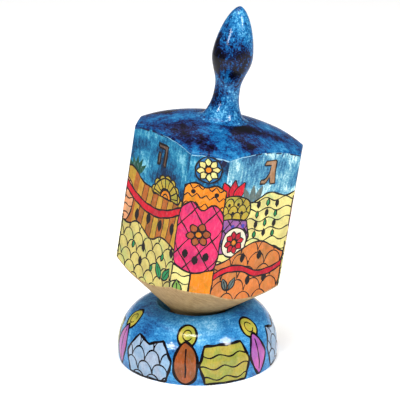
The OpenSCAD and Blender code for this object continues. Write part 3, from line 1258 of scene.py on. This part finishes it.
class Nodes:
    """Short forms for building a material's nodes. An input is a socket to link, or a value to set."""

    def __init__(self, name):
        self.material = bpy.data.materials.new(name)
        self.material.use_nodes = True
        self.tree = self.material.node_tree

    def feed(self, socket, value):
        if isinstance(value, bpy.types.NodeSocket):
            self.tree.links.new(value, socket)
        else:
            socket.default_value = value

    def feed_all(self, node, inputs):
        """Feeds inputs by name, with _ for the blanks in their names."""
        for name, value in inputs.items():
            self.feed(node.inputs[name.replace("_", " ")], value)
        return node

    def add(self, kind, **inputs):
        return self.feed_all(self.tree.nodes.new("ShaderNode" + kind), inputs)

    def finish(self, **inputs):
        """Feeds the shader's own sockets and gives the material."""
        self.feed_all(self.tree.nodes["Principled BSDF"], inputs)
        return self.material

    def attribute(self, name, output):
        node = self.add("Attribute")
        node.attribute_name = name
        return node.outputs[output]

    def scaled(self, vector, scale, turn=(0, 0, 0)):
        return self.add("Mapping", Vector=vector, Scale=scale, Rotation=turn).outputs["Vector"]

    def noise(self, vector, scale, detail=3.0, roughness=0.55, distortion=0.0):
        node = self.add("TexNoise", Vector=vector, Scale=scale, Detail=detail, Roughness=roughness,
                        Distortion=distortion)
        return node.outputs["Fac"]

    def ramp(self, value, stops):
        """Colour ramp with stops of (place, red, green, blue), as they read on the screen."""
        node = self.add("ValToRGB", Fac=value)
        elements = node.color_ramp.elements
        while len(elements) < len(stops):
            elements.new(0.5)
        for element, (place, *screen) in zip(elements, stops):
            element.position = place
            element.color = (*linear(*screen), 1)
        return node.outputs["Color"]

    def span(self, value, low, high, start, end):
        """Maps a value from the span low to high onto the span start to end, and keeps it there."""
        node = self.add("MapRange", Value=value, From_Min=low, From_Max=high, To_Min=start, To_Max=end)
        return node.outputs["Result"]

    def maths(self, operation, a, b):
        node = self.add("Math")
        node.operation = operation
        self.feed(node.inputs[0], a)
        self.feed(node.inputs[1], b)
        return node.outputs[0]

    def mix(self, factor, a, b, blend="MIX"):
        """Mixes two colours."""
        node = self.add("Mix")
        node.data_type = "RGBA"
        node.blend_type = blend
        self.feed(node.inputs[0], factor)
        for place, colour in ((6, a), (7, b)):
            self.feed(node.inputs[place], (*colour, 1) if isinstance(colour, tuple) else colour)
        return node.outputs[2]

    def bump(self, height, strength):
        return self.add("Bump", Height=height, Strength=strength, Distance=BUMP_DEPTH).outputs["Normal"]


def coat(weight, ior=1.5):
    """Clear lacquer over dull paint."""
    return {"Specular_IOR_Level": 0.0, "Coat_Weight": weight, "Coat_Roughness": 0.05, "Coat_IOR": ior}


LACQUER = coat(0.35)
TOP_LACQUER = coat(0.28)
HANDLE_LACQUER = coat(0.45, 1.45)
STAND_LACQUER = coat(0.65)


def paint_material(name, lacquer, bleed_from=0.5):
    """Brushed water paint under lacquer. Each area has its own colour and its own run of brush marks.

    bleed_from is the tone at which the blue of the ground starts to show. The lower, the more of it does.
    """
    n = Nodes(name)
    place = n.attribute("place", "Vector")
    brush = n.attribute("brush", "Fac")
    wash = n.noise(n.scaled(place, (1, 0.8, 1)), 0.17, 4, 0.6, 0.4)
    streaks = n.noise(n.scaled(place, (1.0, 0.35, 1.0), (0, 0, 0.25)), 1.3, 3, 0.6)
    grain = n.noise(n.scaled(place, (1.0, 0.5, 1.0)), 3.4, 2, 0.5)
    bleed = n.noise(n.scaled(place, (1, 1, 1), (0.4, 0, 0)), 0.16, 3, 0.6, 0.6)
    paint = n.attribute("paint", "Color")
    cool = n.mix(1.0, paint, COOL_TINT, "MULTIPLY")
    paint = n.mix(n.span(bleed, bleed_from, bleed_from + 0.18, 0.0, 0.85), paint, cool)
    dark = n.mix(1.0, paint, DARK_TINT, "MULTIPLY")
    light = n.mix(0.5, paint, GLINT_TINT)
    strokes = n.maths("MULTIPLY", n.span(streaks, 0.48, 0.3, 0.0, 0.5), brush)
    glints = n.maths("MULTIPLY", n.span(streaks, 0.52, 0.75, 0.0, 0.3), n.maths("POWER", brush, 2.5))
    colour = n.mix(n.span(wash, 0.56, 0.3, 0.0, 0.6), paint, dark)
    colour = n.mix(n.span(grain, 0.5, 0.25, 0.0, 0.55), colour, dark)
    colour = n.mix(strokes, colour, dark)
    colour = n.mix(glints, colour, light)
    rough = n.span(wash, 0.3, 0.7, 0.35, 0.5)
    return n.finish(Base_Color=colour, Roughness=rough, Coat_Normal=n.bump(streaks, 0.3), **lacquer)


def ink_material():
    """Black pen under the same lacquer."""
    n = Nodes("pen_ink")
    tone = n.noise(n.scaled(n.attribute("place", "Vector"), (1, 1, 1)), 1.4, 2)
    colour = n.ramp(tone, ((0.35, 3, 2, 4), (0.8, 26, 18, 22)))
    return n.finish(Base_Color=colour, Roughness=n.span(tone, 0.3, 0.7, 0.3, 0.45), **LACQUER)


def mottled_blue(name, stops, scale, dab, swing, lacquer=LACQUER, base=0.5):
    """Blue dabbed wet on wet. One tone runs from dark to light: soft pools, brush marks and fine grain.

    scale is that of the pools, dab the scale and turn of the brush marks, and swing how much each of the
    three moves the tone. base is the tone that they move.
    """
    n = Nodes(name)
    place = n.attribute("place", "Vector")
    pools = n.noise(place, scale, 2, 0.5, 0.3)
    dabs = n.noise(n.scaled(place, *dab), 1.0, 3, 0.6, 0.2)
    specks = n.noise(place, 1.4, 3, 0.7)
    tone = n.span(pools, 0.2, 0.8, base - 0.3 * swing[0], base + 0.3 * swing[0])
    tone = n.maths("ADD", tone, n.span(dabs, 0.25, 0.75, -swing[1], swing[1]))
    tone = n.maths("ADD", tone, n.span(specks, 0.25, 0.75, -swing[2], swing[2]))
    # The listed pools: on the handle and the stand they carry painted shade and painted sheen as well as the
    # paint's blotches
    tone = n.maths("ADD", tone, n.attribute("tone", "Fac"))
    colour = n.ramp(tone, stops)
    rough = n.span(pools, 0.3, 0.7, 0.28, 0.45)
    return n.finish(Base_Color=colour, Roughness=rough, Coat_Normal=n.bump(specks, 0.25), **lacquer)


def bare_wood():
    """Bare turned wood: pale brown with fine grain, and no lacquer."""
    n = Nodes("bare_wood")
    place = n.attribute("place", "Vector")
    grain = n.noise(n.scaled(place, (0.9, 0.25, 0.12), (0.1, 0.05, 0.4)), 1.4, 5, 0.6, 0.4)
    pores = n.noise(n.scaled(place, (3.0, 3.0, 0.5)), 1.6, 3, 0.6)
    colour = n.ramp(grain, ((0.3, 128, 100, 60), (0.5, 152, 126, 86), (0.72, 174, 148, 106)))
    colour = n.mix(n.span(pores, 0.45, 0.3, 0.0, 0.25), colour, linear(108, 82, 54))
    rough = n.span(grain, 0.3, 0.7, 0.5, 0.7)
    return n.finish(Base_Color=colour, Roughness=rough, Normal=n.bump(pores, 0.12), Specular_IOR_Level=0.2)


# Stops from dark to light: place, and the colour as it reads on the screen
TOP_STOPS = (
    (0.18, 4, 3, 12), (0.32, 20, 18, 56), (0.42, 15, 56, 108), (0.52, 18, 86, 136), (0.66, 38, 114, 160),
    (0.80, 96, 158, 192),
)
HANDLE_STOPS = (
    (0.18, 2, 2, 8), (0.32, 12, 14, 50), (0.42, 10, 56, 108), (0.52, 17, 84, 138), (0.66, 36, 114, 162),
    (0.80, 100, 168, 202),
)
STAND_STOPS = (
    (0.22, 14, 40, 84), (0.38, 24, 84, 140), (0.54, 42, 120, 174), (0.70, 84, 156, 200),
    (0.84, 146, 194, 220),
)
# The socket's blue is lighter than the stand's: painted light against the shade inside the socket
SOCKET_STOPS_WITH_PAINTED_LIGHT = ((0.30, 44, 104, 160), (0.50, 66, 142, 196), (0.70, 110, 176, 214))
SKY_STOPS = (
    (0.24, 2, 30, 60), (0.38, 6, 64, 102), (0.52, 14, 96, 136), (0.66, 44, 126, 156), (0.80, 108, 170, 190),
)
PALE_SKY_STOPS = (
    (0.22, 22, 62, 100), (0.35, 42, 98, 136), (0.48, 66, 130, 160), (0.60, 102, 157, 174),
    (0.75, 184, 214, 220),
)

paint = paint_material("brushed_paint", LACQUER)
stand_paint = paint_material("brushed_stand_paint", STAND_LACQUER, 0.4)
ink = ink_material()
top_blue = mottled_blue(
    "mottled_blue_top", TOP_STOPS, 0.1, ((0.3, 0.42, 0.4), (0, 0, 0.5)), (0.6, 0.15, 0.19),
    TOP_LACQUER, 0.46)
handle_blue = mottled_blue(
    "mottled_blue_handle", HANDLE_STOPS, 0.16, ((0.6, 0.6, 0.4), (0.3, 0.2, 0.6)), (0.5, 0.18, 0.28),
    HANDLE_LACQUER, 0.492)
stand_blue = mottled_blue(
    "mottled_blue_stand", STAND_STOPS, 0.1, ((0.35, 0.9, 0.5), (0, 0, 0.25)), (0.6, 0.13, 0.16),
    STAND_LACQUER)
# Paint of the inner lip and the socket's upper wall, made lighter as painted light in the socket's shade
socket_paint_with_painted_light = mottled_blue(
    "socket_paint_with_painted_light", SOCKET_STOPS_WITH_PAINTED_LIGHT, 0.12, ((0.5, 0.5, 0.3),), (0.6, 0.12, 0.16))
sky_wash = mottled_blue(
    "sky_wash", SKY_STOPS, 0.1, ((0.9, 0.3, 0.5), (0, 0, 0.45)), (1.3, 0.17, 0.15))
pale_sky = mottled_blue(
    "pale_sky_wash", PALE_SKY_STOPS, 0.11, ((1.0, 0.3, 0.5), (0, 0, 0.6)), (1.3, 0.2, 0.16))
wood = bare_wood()


# Pieces


def place_piece(piece, body, node):
    """Lets a painted piece ride on its body, in place of its node."""
    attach(piece, body)
    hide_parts(node)


block = make_block([paint, top_blue, wood, ink, sky_wash, pale_sky])
handle = make_handle([handle_blue])
stand = make_stand([stand_paint, stand_blue, wood, ink, socket_paint_with_painted_light])
place_piece(block, "dreidel", "block")
place_piece(handle, "dreidel", "handle")
place_piece(stand, "stand", "stand")


# Stage, light and camera, in metres
FLOOR_HALF = 3.0
FLOOR_COLOUR = (0.98, 0.98, 0.98, 1)
FLOOR_ROUGHNESS = 0.7
MIDDLE = (0, 0, 0.07)
WORLD_COLOUR = (1.0, 0.98, 0.95, 1)
WORLD_STRENGTH = 0.3

# Each lamp's name, place, target, width, height and power in watts
LAMPS = (
    ("left_lamp", (-0.53, -0.59, 0.49), MIDDLE, 0.11, 0.19, 4.1),
    ("right_lamp", (0.56, -0.47, 0.61), MIDDLE, 0.12, 0.28, 5.6),
    ("high_lamp", (-0.11, -0.50, 1.15), MIDDLE, 0.28, 0.12, 3.0),
    ("soft", (0.65, -1.15, 0.62), MIDDLE, 1.0, 1.0, 1.6),
    ("overhead", (-0.15, -0.05, 1.35), MIDDLE, 1.0, 1.0, 13.4),
    ("far_floor", (0.0, 1.0, 0.9), (0.0, 1.0, 0.0), 1.4, 0.4, 1.0),
)

# Camera: a long lens, 20.2 degrees above the table
FOCAL_PIXELS = 1787.0
IMAGE_PIXELS = 400
SENSOR_MM = 36.0
CAMERA_DISTANCE = 0.6988
CAMERA_ELEVATION = math.radians(20.2)
CAMERA_AIM_BASE = 0.0469
CAMERA_RIGHT = 0.00096
CAMERA_UP = 0.0166
CLIP_START = 0.01


def aim(thing, place, target):
    thing.location = place
    thing.rotation_euler = (Vector(target) - Vector(place)).to_track_quat("-Z", "Y").to_euler()


def make_floor():
    mesh = bpy.data.meshes.new("floor")
    half = FLOOR_HALF
    mesh.from_pydata([(x, y, 0) for x, y in rectangle(-half, -half, half, half)], [], [(0, 1, 2, 3)])
    material = Nodes("pale_floor").finish(Base_Color=FLOOR_COLOUR, Roughness=FLOOR_ROUGHNESS)
    mesh.materials.append(material)
    floor = add_to_scene("floor", mesh)


def make_world():
    world = bpy.data.worlds.new("studio")
    world.use_nodes = True
    background = world.node_tree.nodes["Background"]
    background.inputs["Color"].default_value = WORLD_COLOUR
    background.inputs["Strength"].default_value = WORLD_STRENGTH
    bpy.context.scene.world = world


def make_lamp(name, place, target, width, height, power):
    light = bpy.data.lights.new(name, "AREA")
    light.shape = "RECTANGLE"
    light.size = width
    light.size_y = height
    light.energy = power
    aim(add_to_scene(name, light), place, target)


def make_camera():
    """Camera that looks along +Y and down on the object, aimed a little to the right and up."""
    back = Vector((0, -math.cos(CAMERA_ELEVATION), math.sin(CAMERA_ELEVATION)))
    up = Vector((0, math.sin(CAMERA_ELEVATION), math.cos(CAMERA_ELEVATION)))
    base = Vector((0, 0, CAMERA_AIM_BASE))
    data = bpy.data.cameras.new("camera")
    data.lens = FOCAL_PIXELS / IMAGE_PIXELS * SENSOR_MM
    data.sensor_width = SENSOR_MM
    data.clip_start = CLIP_START
    camera = add_to_scene("camera", data)
    aim(camera, base + back * CAMERA_DISTANCE, base + Vector((CAMERA_RIGHT, 0, 0)) + up * CAMERA_UP)
    bpy.context.scene.camera = camera


make_floor()
make_world()
for lamp in LAMPS:
    make_lamp(*lamp)
make_camera()
bpy.context.scene.view_settings.view_transform = "Standard"
